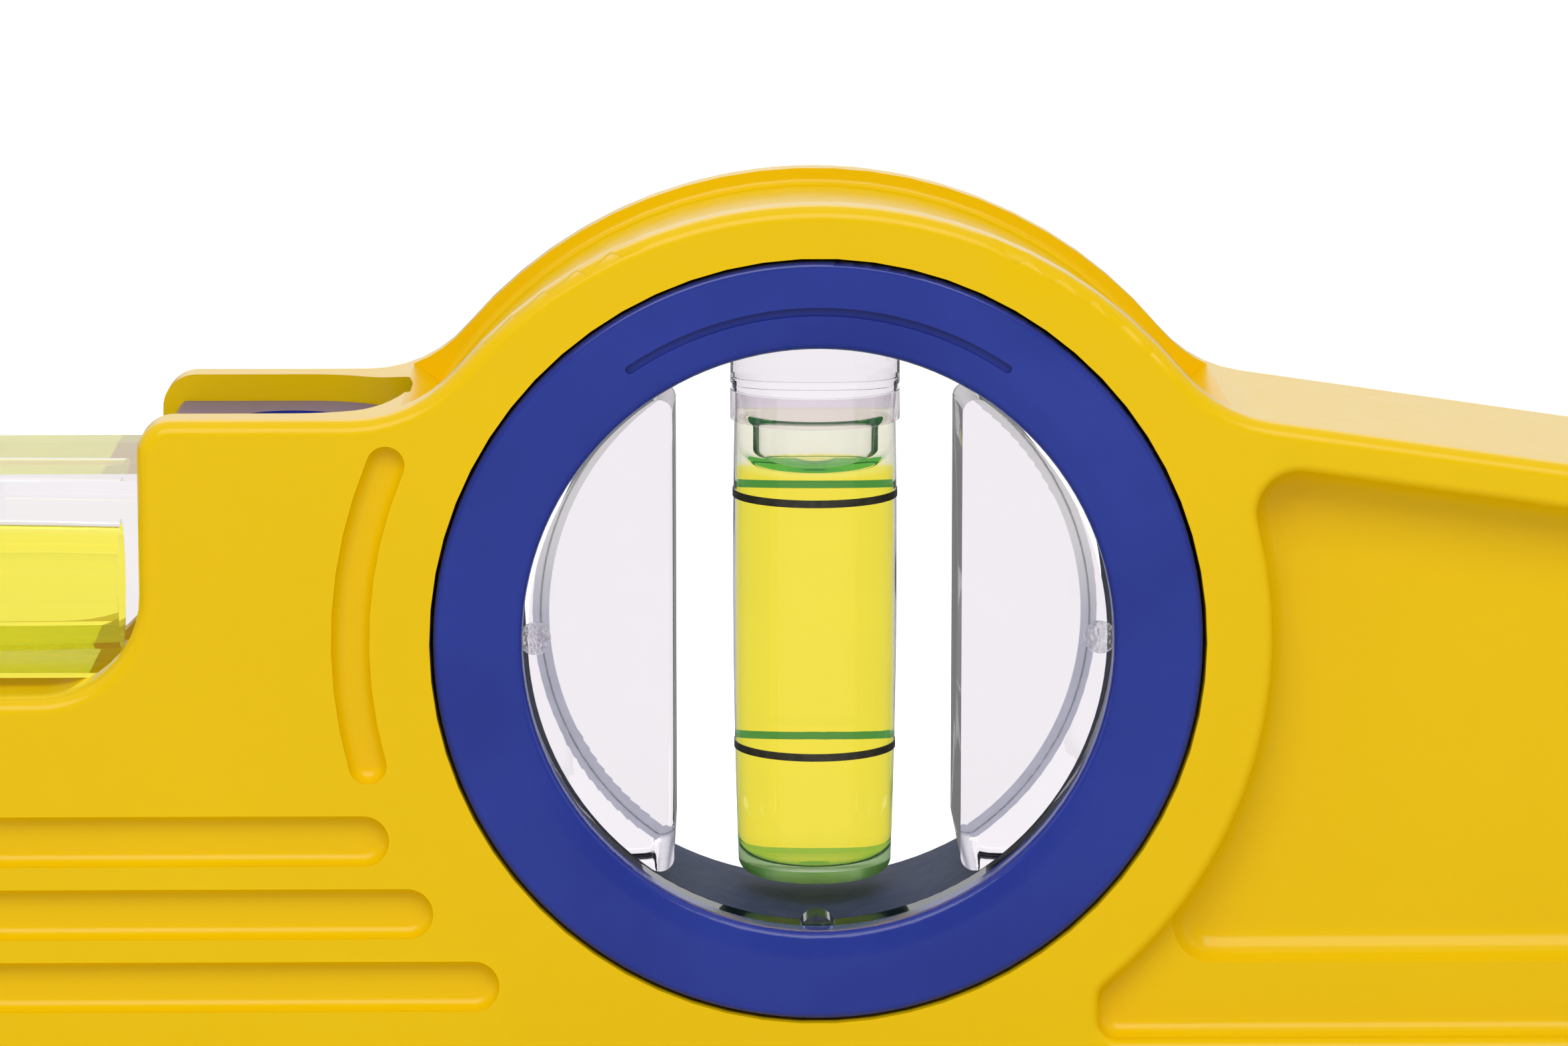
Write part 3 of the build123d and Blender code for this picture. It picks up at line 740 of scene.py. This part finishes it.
def rings_tree(heights):
    """Printed rings: a flat band swept round a circle, at each named height."""
    sizes = ["Band height", "Band depth"]
    sizes += [name + part for name in heights for part in (" radius", " height")]
    tree, group = new_tree("printed_rings", sizes)
    band = add(tree, "GeometryNodeCurvePrimitiveQuadrilateral")
    tree.links.new(group.outputs["Band depth"], band.inputs["Width"])
    tree.links.new(group.outputs["Band height"], band.inputs["Height"])
    join = add(tree, "GeometryNodeJoinGeometry")
    for name in heights:
        circle = add(tree, "GeometryNodeCurvePrimitiveCircle")
        circle.inputs["Resolution"].default_value = RING_SIDES
        tree.links.new(group.outputs[name + " radius"], circle.inputs["Radius"])
        swept = add(tree, "GeometryNodeCurveToMesh")
        tree.links.new(circle.outputs["Curve"], swept.inputs["Curve"])
        tree.links.new(band.outputs["Curve"], swept.inputs["Profile Curve"])
        lift = add(tree, "ShaderNodeCombineXYZ")
        tree.links.new(group.outputs[name + " height"], lift.inputs["Z"])
        placed = add(tree, "GeometryNodeTransform")
        tree.links.new(swept.outputs["Mesh"], placed.inputs["Geometry"])
        tree.links.new(lift.outputs["Vector"], placed.inputs["Translation"])
        tree.links.new(placed.outputs["Geometry"], join.inputs["Geometry"])
    close_tree(tree, group, join.outputs["Geometry"])
    return tree


def printed_rings(unit, tree):
    """The two rings printed round the tube, sunk a little into its wall."""
    place = unit_place(unit)
    weld = welded(unit + "_lines")
    into = place.inverted()
    values = {"Material": INK}
    for shell in shells(weld):
        points = [into @ vertex.co for vertex in shell]
        low = min(point.z for point in points)
        high = max(point.z for point in points)
        away = [math.hypot(point.x, point.y) for point in points]
        name = "Upper" if low > 0 else "Lower"
        inner = min(away) - INK_DEPTH
        values["Band height"] = high - low
        values["Band depth"] = max(away) - inner
        values[name + " radius"] = (max(away) + inner) / 2
        values[name + " height"] = (low + high) / 2
    weld.free()
    piece = grown(unit + "_lines_skin", bpy.data.meshes.new("empty"), tree, values, unit + "_lines")
    piece.data.transform(place)
    bevelled_edges(piece.data)


def bevelled_edges(mesh):
    """Smooth shading that keeps the band's four edges sharp, with its normals outward."""
    weld = bmesh.new()
    weld.from_mesh(mesh)
    bmesh.ops.recalc_face_normals(weld, faces=weld.faces)
    smoothed(weld)
    weld.to_mesh(mesh)
    weld.free()


# ------------------------------------------------------------ the pieces

surfaced("body_casting", COAT)
level_vial()
for side in ("left", "right"):
    surfaced("retainer_" + side, BLUE)
repeated("retainer_screws", SCREW, ["Screw offset"])
repeated("base_magnets", MAGNET, ["Inner offset", "Outer offset"])
RINGS = rings_tree(["Upper", "Lower"])
for unit in ("plumb", "angle"):
    tube_pieces(unit)
    carrier_piece(unit)
    printed_rings(unit, RINGS)
    surfaced(unit + "_bezel_front", BLUE)
    rear_ring(unit)
    clear_piece(unit + "_socket")
    # painted shade: the dark blue round the prism as its rounded edges show it, paler at the top
    painted_edge_material = painted_clear_edge(unit + "_prism_edge_painted_shade", (0.36, 0.37, 0.50), unit_place(unit))
    for name in ("prism_left", "prism_right"):
        prism_piece(unit, unit + "_" + name, painted_edge_material)


# ------------------------------------------------------------ camera, floor and light

RING = middle("plumb_bezel_front")
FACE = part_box("body_casting")[0].y

camera_data = bpy.data.cameras.new("camera")
camera_data.lens = CAMERA_LENS
camera_data.sensor_width = CAMERA_SENSOR
camera_data.clip_start = 0.01
camera_data.clip_end = 50.0
camera = bpy.data.objects.new("camera", camera_data)
camera.location = (RING.x + CAMERA_PLACE[0], FACE + CAMERA_PLACE[1], RING.z + CAMERA_PLACE[2])
camera.rotation_euler = (math.radians(90 - CAMERA_DIP), 0, math.radians(CAMERA_SWING))
bpy.context.scene.collection.objects.link(camera)
bpy.context.scene.camera = camera
bpy.context.scene.view_settings.view_transform = "Standard"


def seen_by(tree, kinds):
    """1 for rays of these kinds, by the names of Light Path's outputs."""
    path = add(tree, "ShaderNodeLightPath")
    total = path.outputs[kinds[0]]
    for kind in kinds[1:]:
        either = add(tree, "ShaderNodeMath", operation="MAXIMUM")
        tree.links.new(total, either.inputs[0])
        tree.links.new(path.outputs[kind], either.inputs[1])
        total = either.outputs[0]
    return total


def blend(tree, amount, off, on):
    """One of two values, by an amount from 0 to 1; a value is a number or a socket."""
    node = add(tree, "ShaderNodeMix", data_type="FLOAT")
    tree.links.new(amount, node.inputs["Factor"])
    for name, value in (("A", off), ("B", on)):
        if isinstance(value, float):
            node.inputs[name].default_value = value
        else:
            tree.links.new(value, node.inputs[name])
    return node.outputs["Result"]


def towards_back(tree, low, high, front, back):
    """A value that rises from front to back of the studio with the ray's direction."""
    place = add(tree, "ShaderNodeTexCoord")
    parts = add(tree, "ShaderNodeSeparateXYZ")
    tree.links.new(place.outputs["Generated"], parts.inputs["Vector"])
    node = add(tree, "ShaderNodeMapRange", interpolation_type="SMOOTHSTEP")
    for name, value in (("From Min", low), ("From Max", high), ("To Min", front), ("To Max", back)):
        node.inputs[name].default_value = value
    tree.links.new(parts.outputs["Y"], node.inputs["Value"])
    return node.outputs["Result"]


def make_world():
    """White surroundings; reflections find the studio dimmer in front of the level."""
    world = bpy.data.worlds.new("studio")
    bpy.context.scene.world = world
    world.use_nodes = True
    tree = world.node_tree
    back = next(n for n in tree.nodes if n.type == "BACKGROUND")
    back.inputs["Color"].default_value = (1, 1, 1, 1)
    mirrored = towards_back(tree, -0.75, 0.1, 0.06, 1.0)
    through = towards_back(tree, -0.6, 0.2, 0.8, 1.0)
    level = blend(tree, seen_by(tree, ["Is Glossy Ray"]), DIFFUSE_LEVEL, mirrored)
    level = blend(tree, seen_by(tree, ["Is Transmission Ray"]), level, through)
    level = blend(tree, seen_by(tree, ["Is Camera Ray"]), level, 1.0)
    tree.links.new(level, back.inputs["Strength"])


def make_floor():
    """A pale floor that shows white and keeps the level's shadow."""
    mesh = bpy.data.meshes.new("floor")
    signs = ((-1, -1), (1, -1), (1, 1), (-1, 1))
    corners = [(x * FLOOR_HALF, y * FLOOR_HALF, 0) for x, y in signs]
    mesh.from_pydata(corners, [], [(0, 1, 2, 3)])
    material, tree, shader = new_material("pale_floor")
    dim = blend(tree, seen_by(tree, ["Is Glossy Ray"]), 0.8, 0.25)
    colour = add(tree, "ShaderNodeCombineXYZ")
    for name in ("X", "Y", "Z"):
        tree.links.new(dim, colour.inputs[name])
    tree.links.new(colour.outputs["Vector"], shader.inputs["Base Color"])
    shader.inputs["Roughness"].default_value = 0.9
    seen = seen_by(tree, ["Is Camera Ray", "Is Transmission Ray"])
    tree.links.new(spread(tree, seen, 0.0, 0.70), shader.inputs["Emission Strength"])
    shader.inputs["Emission Color"].default_value = (1, 1, 1, 1)
    mesh.materials.append(material)
    floor = bpy.data.objects.new("floor", mesh)
    bpy.context.scene.collection.objects.link(floor)


def softbox(name, place, power):
    """A rectangular soft lamp aimed at the level."""
    data = bpy.data.lights.new(name, "AREA")
    data.shape = "RECTANGLE"
    data.size = LAMP_WIDTH
    data.size_y = LAMP_HEIGHT
    data.energy = power
    lamp = bpy.data.objects.new(name, data)
    lamp.location = place
    lamp.rotation_euler = (Vector(LAMP_TARGET) - Vector(place)).to_track_quat("-Z", "Y").to_euler()
    bpy.context.scene.collection.objects.link(lamp)


make_world()
make_floor()
softbox("high_front_softbox", (0.0, -0.62, 0.62), 4.0)
softbox("high_back_softbox", (0.0, 0.62, 0.62), 1.3)
